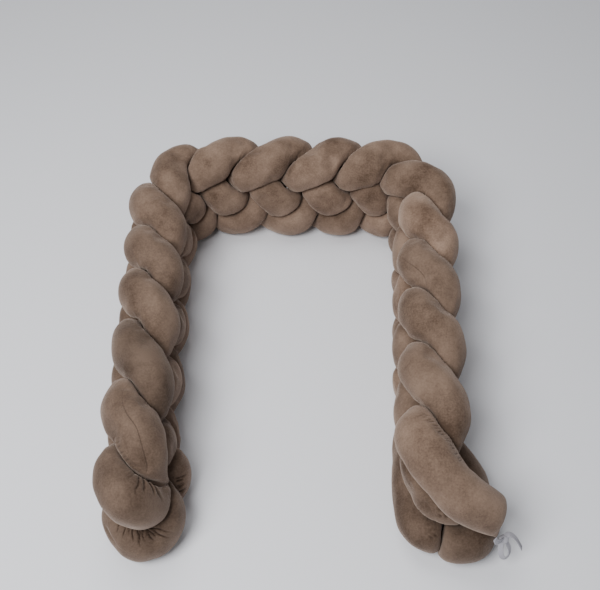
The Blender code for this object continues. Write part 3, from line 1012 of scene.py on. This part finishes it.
@dataclass(frozen=True)
class VelvetFinish:
    """Short-pile velvet whose colour changes with the lie of its nap, with painted light and shade on some
    lobes and painted shade in its creases.
    """

    name: str
    dark: Triple
    light: Triple
    seed_shift: float = 0.0
    roughness: float = 0.85
    gloss: float = 0.15
    sheen: float = 0.40
    sheen_roughness: float = 0.42
    sheen_tint: Triple = (0.86, 0.70, 0.60)
    pile_strength: float = 0.6
    pile_height: float = 0.001

    def material(self, groups: ClothGroups) -> bpy.types.Material:
        """Make the velvet's material.

        Args:
            groups: Shared effects of the cloth.

        Returns:
            The material.
        """
        material, tree, shader = new_material(self.name)
        shader.inputs["Roughness"].default_value = self.roughness
        shader.inputs["Specular IOR Level"].default_value = self.gloss
        shader.inputs["Sheen Weight"].default_value = self.sheen
        shader.inputs["Sheen Roughness"].default_value = self.sheen_roughness
        shader.inputs["Sheen Tint"].default_value = opaque(self.sheen_tint)
        nap = add_node(tree, "Group", node_tree=groups.nap)
        nap.inputs["Dark"].default_value = opaque(self.dark)
        nap.inputs["Light"].default_value = opaque(self.light)
        nap.inputs["Shift"].default_value = self.seed_shift
        bump = add_node(tree, "Bump", Strength=self.pile_strength, Distance=self.pile_height)
        tree.links.new(nap.outputs["Colour"], shader.inputs["Base Color"])
        tree.links.new(nap.outputs["Height"], bump.inputs["Height"])
        tree.links.new(bump.outputs["Normal"], shader.inputs["Normal"])
        return material


@dataclass(frozen=True)
class TapeFinish:
    """Plain woven cotton tape."""

    name: str = "cotton_tape_weave"
    colour: Triple = (0.52, 0.51, 0.56)
    between_threads: float = 0.82
    roughness: float = 0.82
    sheen: float = 0.15
    thread_scale: float = 700.0
    thread_strength: float = 0.4
    thread_height: float = 0.0004

    def material(self) -> bpy.types.Material:
        """Make the tape's material.

        Returns:
            The material.
        """
        material, tree, shader = new_material(self.name)
        shader.inputs["Roughness"].default_value = self.roughness
        shader.inputs["Sheen Weight"].default_value = self.sheen
        place = add_node(tree, "TexCoord")
        wave = add_node(tree, "TexWave", Scale=self.thread_scale, Distortion=1.5)
        tone = add_node(tree, "ValToRGB")
        tone.color_ramp.elements[0].color = opaque(self.colour, self.between_threads)
        tone.color_ramp.elements[1].color = opaque(self.colour)
        bump = add_node(tree, "Bump", Strength=self.thread_strength, Distance=self.thread_height)
        tree.links.new(place.outputs["Object"], wave.inputs["Vector"])
        tree.links.new(wave.outputs["Fac"], tone.inputs["Fac"])
        tree.links.new(tone.outputs["Color"], shader.inputs["Base Color"])
        tree.links.new(wave.outputs["Fac"], bump.inputs["Height"])
        tree.links.new(bump.outputs["Normal"], shader.inputs["Normal"])
        return material


@dataclass
class StuffedTube:
    """One long stuffed tube of the plait, made of one closed skin."""

    name: str
    node: str
    slot: str
    own: int
    course: TubeCourse
    finish: VelvetFinish
    seed: int
    plan: PlaitPlan
    fill: float = 0.85
    stuffing: Stuffing = field(default_factory=Stuffing)
    wrinkles: Wrinkles = field(default_factory=Wrinkles)
    settling: Settling = field(default_factory=Settling)
    sides: int = 64
    ring_step: float = 0.0040
    fine_step: float = 0.0011
    bend_share: float = 0.25
    crease_margin: float = 0.004
    least_reach: float = 0.002
    least_radius: float = 0.6
    bend_ease: int = 4
    step_ease: int = 3
    turn_ease: int = 6
    evening_rounds: int = 3
    girth_rounds: int = 12
    girth_ease: int = 12
    seam_ease: int = 8
    share_ease: int = 6
    tone_ease: int = 12

    def ring_places(self, line: np.ndarray) -> np.ndarray:
        """Give ring positions as places along the line, closer together at creases and bends.

        Args:
            line: The tube's centreline.

        Returns:
            Places between the line's rows.
        """
        along = carried_frame(line)[0]
        bend = np.linalg.norm(np.gradient(along, axis=0), axis=1) / LINE_STEP
        bend = np.maximum(smooth(bend, self.bend_ease), 0) * self.stuffing.radius
        step = self.ring_step / (1 + self.bend_share * bend ** 2)
        for row in self.course.creases:
            under = row.middle - self.stuffing.radius * unit(np.array(row.facing))
            close = row.reach - row.length / 2 + self.crease_margin
            near = np.linalg.norm(line - under, axis=1) < close
            step = np.where(near, np.minimum(step, self.fine_step), step)
        step = np.maximum(smooth(step, self.step_ease), self.fine_step)
        run = np.concatenate(((0.0,), np.cumsum(LINE_STEP / step[:-1])))
        return np.interp(np.linspace(0, run[-1], round(run[-1]) + 1), run, np.arange(len(line)))

    def spokes(self, line: np.ndarray, places: np.ndarray) -> tuple[np.ndarray, np.ndarray, np.ndarray]:
        """Give the centres, directions along and outward directions of the rings.

        Args:
            line: The tube's centreline.
            places: Ring positions along it.

        Returns:
            Centres, directions along the tube and outward directions.
        """
        along, side = carried_frame(line)
        along = unit(sample(along, places))
        side = sample(side, places)
        side = unit(side - along * (side * along).sum(1, keepdims=True))
        over = np.cross(along, side)
        angle = 2 * math.pi * np.arange(self.sides) / self.sides
        spread = side[:, None] * np.cos(angle)[None, :, None] + over[:, None] * np.sin(angle)[None, :, None]
        return sample(line, places), along, spread

    def limits(
        self, lines: Sequence[np.ndarray], centres: np.ndarray, spread: np.ndarray, places: np.ndarray
    ) -> np.ndarray:
        """Give how far each spoke may reach.

        Args:
            lines: Centrelines of all tubes.
            centres: Ring centres.
            spread: Outward directions of each ring.
            places: Ring positions along this tube's own line.

        Returns:
            The reach before a neighbour's side or the inside of the tube's own bend.
        """
        stuffing = self.stuffing
        reach = np.ones(spread.shape[:2])
        trim = round(stuffing.end_trim / LINE_STEP)
        for which, line in enumerate(lines):
            points = line[trim:-trim]
            rows = np.arange(len(points)) + trim
            for ring, centre in enumerate(centres):
                offset = points - centre
                square = (offset ** 2).sum(1)
                near = square < stuffing.near ** 2
                same = (np.abs(rows - places[ring]) * LINE_STEP < stuffing.same_bend) & (which == self.own)
                other = near & ~same
                if other.any():
                    toward = np.maximum(offset[other] @ spread[ring].T + stuffing.gap, 1e-6)
                    found = (square[other][:, None] - stuffing.gap ** 2) / (2 * toward)
                    reach[ring] = np.minimum(reach[ring], found.min(0))
                beside = near & same & (square > stuffing.least_turn ** 2)
                if beside.any():
                    toward = offset[beside] @ spread[ring].T
                    toward = np.where(toward > stuffing.least_turn, toward, stuffing.least_turn ** 2)
                    found = stuffing.bend_share * square[beside][:, None] / (2 * toward)
                    reach[ring] = np.minimum(reach[ring], found.min(0))
        return np.maximum(reach, self.least_reach)

    def woven_shape(self, centres: np.ndarray, along: np.ndarray, spread: np.ndarray) -> np.ndarray:
        """Give the free outline of each ring, flattened across the plait where the tube is woven.

        Args:
            centres: Ring centres.
            along: Direction of the tube at each ring.
            spread: Outward directions of each ring.

        Returns:
            Reach of each point, as a share of the tube's radius.
        """
        stuffing, plan = self.stuffing, self.plan
        length, across = plan.nearest(centres)
        across = across - along * (across * along).sum(1, keepdims=True)
        share = np.linalg.norm(across, axis=1)
        across /= np.maximum(share, 1e-6)[:, None]
        weight = np.clip((length - stuffing.woven_start) / stuffing.end_blend, 0, 1)
        weight = weight * np.clip((stuffing.woven_end - length) / stuffing.end_blend, 0, 1) * share
        depth_part = (spread * across[:, None]).sum(2)
        width_part = np.sqrt(np.maximum(1 - depth_part ** 2, 0))
        level = np.clip((centres[:, 2] - plan.middle) / plan.swing, -1, 1)
        edge = np.sqrt(np.clip(spread[..., 2] * level[:, None], 0, 1))
        half_width = stuffing.half_width - (stuffing.half_width - plan.edge_reach) * edge
        depth = 1 + (stuffing.half_depth / stuffing.radius - 1) * weight[:, None]
        width = 1 + (half_width / stuffing.radius - 1) * weight[:, None]
        return 1 / np.sqrt((depth_part / depth) ** 2 + (width_part / width) ** 2)

    def close_ends(
        self, shape: np.ndarray, centres: np.ndarray, along: np.ndarray, spread: np.ndarray
    ) -> np.ndarray:
        """Flatten the rings towards the sewn seams, in place, and give how open each ring is.

        Args:
            shape: Free outlines of the rings, which are changed in place.
            centres: Ring centres.
            along: Direction of the tube at each ring.
            spread: Outward directions of each ring.

        Returns:
            One for a whole ring, and less towards the seam.
        """
        run = run_along(centres)
        open_share = np.ones(len(centres))
        for which, end in zip(End, self.course.ends):
            distance = run if which is End.FIRST else run[-1] - run
            seam = unit(np.array(end.direction))
            for ring in np.flatnonzero(distance < end.run):
                part = distance[ring] / end.run
                open_share[ring] = part
                edge = unit(seam - along[ring] * (seam @ along[ring]))
                flat = np.cross(along[ring], edge)
                least = end.half_seam / self.stuffing.radius
                thick = least + (1 - least) * math.sqrt(1 - (1 - part) ** 2)
                wide = 1 - end.narrowing * (1 - part)
                outline = ((spread[ring] @ edge) / wide) ** 2 + ((spread[ring] @ flat) / thick) ** 2
                shape[ring] = part * shape[ring] + (1 - part) / np.sqrt(outline)
        return open_share

    def press(self, radius: np.ndarray, shape: np.ndarray, limits: np.ndarray) -> np.ndarray:
        """Press free outlines against their limits with a rounded edge between the two.

        Args:
            radius: Radius of each ring.
            shape: Free outline of each ring, as a share of the radius.
            limits: Greatest reach of each point.

        Returns:
            Reach of each point.
        """
        free = radius[:, None] * shape
        power = self.stuffing.corner_power
        return (free ** -power + limits ** -power) ** (-1 / power)

    def girth(self, centres: np.ndarray, spread: np.ndarray, reach: np.ndarray) -> np.ndarray:
        """Give the length of cloth round each ring."""
        points = centres[:, None] + spread * reach[..., None]
        return np.linalg.norm(points - np.roll(points, 1, axis=1), axis=2).sum(1)

    def bend_folds(self, run: np.ndarray, squeeze: np.ndarray, skin: np.ndarray) -> np.ndarray:
        """Give the creases that run round the tube from the inside of its bends.

        Args:
            run: Length along the centreline at each ring.
            squeeze: How much each spot's cloth is shortened by the bend.
            skin: Places on the skin.

        Returns:
            One value for each spot, below zero in a crease.
        """
        wrinkles = self.wrinkles
        broad, broad_size = wrinkles.broad_drift
        narrow, narrow_size = wrinkles.narrow_drift
        drift = broad * lumps(skin, broad_size, self.seed + 1)
        drift += narrow * lumps(skin, narrow_size, self.seed + 2)
        phase = run[:, None] / wrinkles.fold_length + wrinkles.drift * drift
        number = np.round(phase).astype(int)
        random = np.random.default_rng(self.seed + 5)
        start = random.uniform(*wrinkles.fold_starts, wrinkles.most_folds)[number]
        strength = random.uniform(*wrinkles.fold_strengths, wrinkles.most_folds)[number]
        beside = (phase - number) * wrinkles.fold_length
        lane = np.exp(-(beside / wrinkles.fold_width) ** 2)
        amount = ramp(squeeze - start, wrinkles.fold_from, wrinkles.fold_to)
        return -wrinkles.fold_depth * strength * lane * amount

    def relief(
        self,
        centres: np.ndarray,
        along: np.ndarray,
        spread: np.ndarray,
        reach: np.ndarray,
        seam: np.ndarray,
        share: np.ndarray,
    ) -> np.ndarray:
        """Give the cloth's lumps, creases and seam groove as a depth outwards at each spoke.

        Args:
            centres: Ring centres.
            along: Direction of the tube at each ring.
            spread: Outward directions of each ring.
            reach: Distance of each point from its ring's centre.
            seam: Angle of the lengthwise seam on each ring.
            share: How clearly that seam shows.

        Returns:
            One value for each point.
        """
        wrinkles = self.wrinkles
        radius = self.stuffing.radius
        skin = centres[:, None] + spread * reach[..., None]
        run = run_along(centres)
        turn = np.gradient(along, axis=0) / np.maximum(np.gradient(run), 1e-6)[:, None]
        turn = np.stack([smooth(turn[:, axis], self.turn_ease) for axis in range(3)], 1)
        squeeze = (spread * turn[:, None]).sum(2) * radius
        depth = wrinkles.lump_depth * lumps(skin, wrinkles.lump_size, self.seed)
        depth += wrinkles.dent_depth * lumps(skin, wrinkles.dent_size, self.seed + 7)
        depth += self.bend_folds(run, squeeze, skin)
        angle = 2 * math.pi * np.arange(self.sides) / self.sides
        gap = np.angle(np.exp(1j * (angle[None] - seam[:, None]))) * radius
        groove = np.exp(-(gap / wrinkles.seam_width) ** 2)
        pucker = np.exp(-(gap / (wrinkles.pucker_reach * wrinkles.seam_width)) ** 2)
        drift = lumps(skin, wrinkles.pucker_drift, self.seed + 9)
        wave = np.sin(2 * math.pi * run[:, None] / wrinkles.pucker_length + drift)
        return depth + (wrinkles.pucker_depth * pucker * wave - wrinkles.seam_depth * groove) * share[:, None]

    def gathers(self, points: np.ndarray) -> tuple[np.ndarray, np.ndarray]:
        """Work out the rows of small creases on the settled cloth.

        Args:
            points: The settled points of each ring.

        Returns:
            How far the creases move each point outwards, and how strongly painted shade darkens it in them.
        """
        depth = np.zeros(points.shape[:2])
        dark = np.zeros(points.shape[:2])
        points = points + (*PLAN_CENTRE, 0.0)
        for row in self.course.creases:
            near = np.linalg.norm(points - row.middle, axis=2) < row.reach
            moved = row.depth_at(points[near])
            depth[near] += moved
            # Painted shade, darker in deeper creases.
            dark[near] += row.dark * np.clip(-moved / self.wrinkles.full_shade_crease_depth, 0, 1)
        return np.minimum(depth, self.wrinkles.crease_lip), np.minimum(dark, 1)

    def nearest_ring(self, centres: np.ndarray, place: Triple) -> int:
        """Give the number of the ring that lies nearest to a place."""
        return int(np.linalg.norm(centres - np.array(place), axis=1).argmin())

    def seam_angle(self, centres: np.ndarray, spread: np.ndarray) -> np.ndarray:
        """Give the angle of the lengthwise seam on each ring.

        Args:
            centres: Ring centres.
            spread: Outward directions of each ring.

        Returns:
            One angle for each ring.
        """
        side, over = spread[:, 0], spread[:, self.sides // 4]
        found = []
        for turn in self.course.seams:
            ring = self.nearest_ring(centres, turn.place)
            facing = np.array(turn.facing)
            found.append((ring, math.atan2(facing @ over[ring], facing @ side[ring])))
        found.sort()
        rings, angles = zip(*found)
        return smooth(np.interp(np.arange(len(centres)), rings, np.unwrap(angles)), self.seam_ease)

    def seam_share(self, centres: np.ndarray, seam: np.ndarray) -> np.ndarray:
        """Give how clearly the seam shows on each ring: the nap hides it where it winds round the tube.

        Args:
            centres: Ring centres.
            seam: Angle of the seam on each ring.

        Returns:
            A share for each ring.
        """
        run = run_along(centres)
        slope = np.abs(np.gradient(seam)) * self.stuffing.radius / np.maximum(np.gradient(run), 1e-6)
        return smooth(1 - ramp(slope, *self.wrinkles.seam_slopes), self.share_ease)

    def tones(self, centres: np.ndarray) -> np.ndarray:
        """Give how light the pile looks on each ring, partly from the nap's lie and partly painted light and
        shade.

        Args:
            centres: Ring centres.

        Returns:
            One tone for each ring.
        """
        found = sorted((self.nearest_ring(centres, lie.place), lie.tone) for lie in self.course.nap_and_shade_tones)
        rings, tones = zip(*found)
        return smooth(np.interp(np.arange(len(centres)), rings, tones), self.tone_ease)

    def rings(self, lines: Sequence[np.ndarray]) -> Skin:
        """Work out the tube's rings.

        Args:
            lines: Centrelines of all tubes.

        Returns:
            The rings' points, how far they may move and the seam's angle on each.
        """
        line = lines[self.own]
        places = self.ring_places(line)
        centres, along, spread = self.spokes(line, places)
        limits = self.limits(lines, centres, spread, places)
        shape = self.woven_shape(centres, along, spread)
        open_share = self.close_ends(shape, centres, along, spread)
        full = self.stuffing.radius
        low = np.full(len(centres), self.least_radius * full)
        high = np.full(len(centres), self.stuffing.limit * full)
        for _ in range(self.girth_rounds):
            middle = (low + high) / 2
            slack = self.girth(centres, spread, self.press(middle, shape, limits)) > 2 * math.pi * full
            high = np.where(slack, middle, high)
            low = np.where(slack, low, middle)
        radius = smooth(np.where(open_share < 1, full, (low + high) / 2), self.girth_ease)
        hollow = np.exp(-(np.maximum(limits - full, 0) / self.stuffing.fill_reach) ** 2)
        shape = shape * (1 + self.stuffing.fill_share * hollow * open_share[:, None])
        seam = self.seam_angle(centres, spread)
        share = self.seam_share(centres, seam)
        tones = self.tones(centres)
        reach = self.press(radius, shape, limits)
        for _ in range(self.evening_rounds):
            even = reach.copy()
            even[1:-1] = (reach[:-2] + 2 * reach[1:-1] + reach[2:]) / 4
            even = (np.roll(even, 1, 1) + 2 * even + np.roll(even, -1, 1)) / 4
            even[[0, -1]] = reach[[0, -1]]
            reach = np.minimum(even, limits)
        depth = self.relief(centres, along, spread, reach, seam, share) * np.sqrt(open_share)[:, None]
        reach = np.minimum(reach + depth, np.maximum(limits, reach))
        centres[:, :2] -= PLAN_CENTRE
        return Skin(centres, spread, reach, np.maximum(limits, reach), seam, share, tones)

    def build(self, lines: Sequence[np.ndarray]) -> bpy.types.Object:
        """Build the tube's skin.

        Args:
            lines: Centrelines of all tubes.

        Returns:
            The finished object.
        """
        skin = self.rings(lines)
        points = self.settling.let_go(skin)
        # dark holds the painted shade of the creases.
        gather, dark = self.gathers(points)
        points = points + skin.spread * gather[..., None]
        points[..., 2] = np.maximum(points[..., 2], 0.0)
        mesh = wrap_grid(points)
        self.mark_cloth(mesh, skin, dark)
        close_tube(mesh)
        return add_piece(self.name, mesh)

    def mark_cloth(self, mesh: bmesh.types.BMesh, skin: Skin, dark: np.ndarray) -> None:
        """Write what the velvet reads: painted crease shade, seam, and a nap tone that is partly painted
        light and shade at each point, and lengths round the cloth.

        Args:
            mesh: The tube's wrapped grid.
            skin: The tube's rings.
            dark: How strongly painted shade darkens each point in the creases.
        """
        crease = mesh.verts.layers.float.new("crease")
        shown = mesh.verts.layers.float.new("seam")
        tone = mesh.verts.layers.float.new("tone")
        columns = self.sides + 1
        for vertex in mesh.verts:
            ring, side = divmod(vertex.index, columns)
            vertex[crease] = dark[ring, side % self.sides]
            vertex[shown] = skin.share[ring]
            # The tone holds painted light and shade as well as the nap's lie.
            vertex[tone] = skin.tones[ring]
        cloth = mesh.loops.layers.uv.new("cloth")
        run = run_along(skin.centres)
        around = np.arange(columns)[None] / self.sides - skin.seam[:, None] / (2 * math.pi)
        for face in mesh.faces:
            for loop in face.loops:
                ring, side = divmod(loop.vert.index, columns)
                loop[cloth].uv = (run[ring], around[ring, side])

    def dress(self, piece: bpy.types.Object, groups: ClothGroups) -> None:
        """Give the finished tube its velvet, hang it on the root body and hide the part that it replaces.

        Args:
            piece: The finished tube.
            groups: Shared effects of the cloth.
        """
        piece.data.materials.append(self.finish.material(groups))
        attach(piece, "root")
        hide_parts(self.node)


@dataclass(frozen=True)
class TapeTie:
    """The cotton tape tie: lead, knot, bow loop and free end."""

    name: str = "tie_tape"
    node: str = "tape_tie"
    slot: str = "cotton_tape"
    sewn_to: str = "upper_velvet_tube"
    finish: TapeFinish = TapeFinish()
    least_declared: float = 0.01
    width: float = 0.008
    thickness: float = 0.0011
    step: float = 0.0015
    columns: int = 8
    ripple: float = 0.0003
    knot_size: Triple = (0.0074, 0.0066, 0.0062)
    knot_place: Triple = (0.3065, 0.4770, 0.0750)
    lead: Rows = (
        (0.2857, 0.4637, 0.1080),
        (0.2885, 0.4625, 0.1005),
        (0.2965, 0.4672, 0.0892),
        (0.3050, 0.4760, 0.0765),
    )
    loop: Rows = (
        (0.3045, 0.4770, 0.0740),
        (0.3040, 0.4720, 0.0600),
        (0.3060, 0.4640, 0.0450),
        (0.3140, 0.4620, 0.0360),
        (0.3195, 0.4680, 0.0450),
        (0.3150, 0.4740, 0.0600),
        (0.3095, 0.4765, 0.0730),
    )
    tail: Rows = (
        (0.3060, 0.4780, 0.0765),
        (0.3125, 0.4815, 0.0815),
        (0.3210, 0.4805, 0.0770),
        (0.3310, 0.4765, 0.0630),
        (0.3390, 0.4735, 0.0460),
    )

    def strip(self, mesh: bmesh.types.BMesh, path: Rows) -> float:
        """Lay a strip of tape along a path.

        Args:
            mesh: Mesh that takes the strip.
            path: Points that the tape's middle follows.

        Returns:
            The strip's length.
        """
        line = spline(np.array(path), self.step)
        line[:, :2] -= PLAN_CENTRE
        along, side = carried_frame(line)
        over = np.cross(along, side)
        made = bmesh.ops.create_grid(mesh, x_segments=self.columns, y_segments=len(line) - 1, size=1.0)
        for number, vertex in enumerate(made["verts"]):
            row, column = divmod(number, self.columns + 1)
            across = (column / self.columns - 0.5) * self.width
            ripple = self.ripple * math.cos(column * math.pi)
            vertex.co = line[row] + side[row] * across + over[row] * ripple
        return float(np.linalg.norm(np.diff(line, axis=0), axis=1).sum())

    def build(self) -> tuple[bpy.types.Object, float]:
        """Build the tie.

        Returns:
            The finished object and the tape's whole length.
        """
        mesh = bmesh.new()
        length = sum(self.strip(mesh, path) for path in (self.lead, self.loop, self.tail))
        bmesh.ops.solidify(mesh, geom=mesh.faces[:] + mesh.edges[:] + mesh.verts[:], thickness=self.thickness)
        knot = bmesh.ops.create_uvsphere(mesh, u_segments=28, v_segments=18, radius=1.0)["verts"]
        bmesh.ops.scale(mesh, vec=Vector(self.knot_size), verts=knot)
        place = Vector(self.knot_place) - Vector((*PLAN_CENTRE, 0.0))
        bmesh.ops.translate(mesh, vec=place, verts=knot)
        bmesh.ops.recalc_face_normals(mesh, faces=mesh.faces)
        for face in mesh.faces:
            face.smooth = True
        LOG.info("tape length %.3f", length)
        return add_piece(self.name, mesh), length

    def dress(self, piece: bpy.types.Object, length: float) -> None:
        """Give the finished tie its cotton, hang it on the root body and hide the part that it replaces.

        Args:
            piece: The finished tie.
            length: The tape's whole length, which is not used.
        """
        piece.data.materials.append(self.finish.material())
        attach(piece, "root")
        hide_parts(self.node)


@dataclass(frozen=True)
class SoftLight:
    """One square lamp of the studio."""

    name: str
    place: Triple
    size: float
    power: float

    def add(self, target: Vector) -> None:
        """Hang the lamp where it faces a target.

        Args:
            target: Point that the lamp faces.
        """
        data = bpy.data.lights.new(self.name, "AREA")
        data.size = self.size
        data.energy = self.power
        light = bpy.data.objects.new(self.name, data)
        light.location = self.place
        light.rotation_mode = "QUATERNION"
        light.rotation_quaternion = (target - light.location).to_track_quat("-Z", "Y")
        bpy.context.scene.collection.objects.link(light)


@dataclass(frozen=True)
class Studio:
    """Floor, soft light and camera."""

    camera_place: Triple = (-0.0073, 0.0, 1.282)
    focal_pixels: float = 839.46
    frame_width: int = 600
    pitch: float = 52.044
    yaw: float = 1.07
    roll: float = -0.2249
    sensor_width: float = 36.0
    floor_colour: Triple = (0.83, 0.84, 0.88)
    floor_roughness: float = 0.9
    floor_size: float = 20.0
    floor_drop: float = 0.0006
    room_colour: Triple = (0.97, 0.975, 1.0)
    room_light: float = 0.25
    lit_point: Triple = (0.0, 0.0, 0.1)
    lamps: tuple[SoftLight, ...] = (
        SoftLight("window_light", (-0.8, -1.0, 1.9), 1.0, 54.0),
        SoftLight("ceiling_light", (-0.4, 0.6, 2.2), 1.2, 17.0),
    )

    def add_floor(self) -> None:
        """Lay the plain pale floor."""
        mesh = bmesh.new()
        bmesh.ops.create_grid(mesh, x_segments=1, y_segments=1, size=self.floor_size)
        floor = add_piece("floor", mesh)
        material, _, shader = new_material("pale_floor")
        shader.inputs["Base Color"].default_value = opaque(self.floor_colour)
        shader.inputs["Roughness"].default_value = self.floor_roughness
        floor.data.materials.append(material)
        floor.location.z = -self.floor_drop

    def add_lights(self) -> None:
        """Light the object softly from above."""
        world = bpy.data.worlds.new("studio")
        world.use_nodes = True
        back = world.node_tree.nodes["Background"]
        back.inputs["Color"].default_value = opaque(self.room_colour)
        back.inputs["Strength"].default_value = self.room_light
        bpy.context.scene.world = world
        for lamp in self.lamps:
            lamp.add(Vector(self.lit_point))

    def add_camera(self) -> None:
        """Set the camera where the photograph was taken from."""
        pitch, yaw, roll = (math.radians(value) for value in (self.pitch, self.yaw, self.roll))
        ahead = math.cos(pitch)
        forward = np.array((math.sin(yaw) * ahead, math.cos(yaw) * ahead, -math.sin(pitch)))
        right = np.array((math.cos(yaw), -math.sin(yaw), 0.0))
        down = np.cross(forward, right)
        across = math.cos(roll) * right + math.sin(roll) * down
        below = -math.sin(roll) * right + math.cos(roll) * down
        turn = Matrix((across, -below, -forward)).transposed().to_4x4()
        data = bpy.data.cameras.new("camera")
        data.sensor_fit = "HORIZONTAL"
        data.sensor_width = self.sensor_width
        data.lens = self.focal_pixels / self.frame_width * self.sensor_width
        camera = bpy.data.objects.new("camera", data)
        place = Vector(self.camera_place) - Vector((*PLAN_CENTRE, 0.0))
        camera.matrix_world = Matrix.Translation(place) @ turn
        bpy.context.scene.collection.objects.link(camera)
        bpy.context.scene.camera = camera


def main() -> None:
    """Build the pieces in order, dress them and set the stage."""
    logging.basicConfig(level=logging.INFO, format="%(name)s %(message)s")
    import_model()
    studio = Studio()
    studio.add_camera()
    plan = PlaitPlan()
    lines = [course.line(plan) for course in (UPPER_COURSE, LOWER_COURSE)]
    groups = ClothGroups()
    upper_nap = VelvetFinish("velvet_upper_nap", (0.086, 0.053, 0.036), (0.276, 0.190, 0.140))
    lower_nap = VelvetFinish("velvet_lower_nap", (0.084, 0.052, 0.035), (0.270, 0.186, 0.137), 3.7)
    tubes = (
        StuffedTube(
            name="upper_velvet_tube",
            node="upper_fold_tube",
            slot="velvet_upper",
            own=0,
            course=UPPER_COURSE,
            finish=upper_nap,
            seed=11,
            plan=plan,
        ),
        StuffedTube(
            name="lower_velvet_tube",
            node="lower_fold_tube",
            slot="velvet_lower",
            own=1,
            course=LOWER_COURSE,
            finish=lower_nap,
            seed=47,
            plan=plan,
        ),
    )
    for tube in tubes:
        tube.dress(tube.build(lines), groups)
    tie = TapeTie()
    tie.dress(*tie.build())
    studio.add_floor()
    studio.add_lights()


if __name__ == "__main__":
    main()
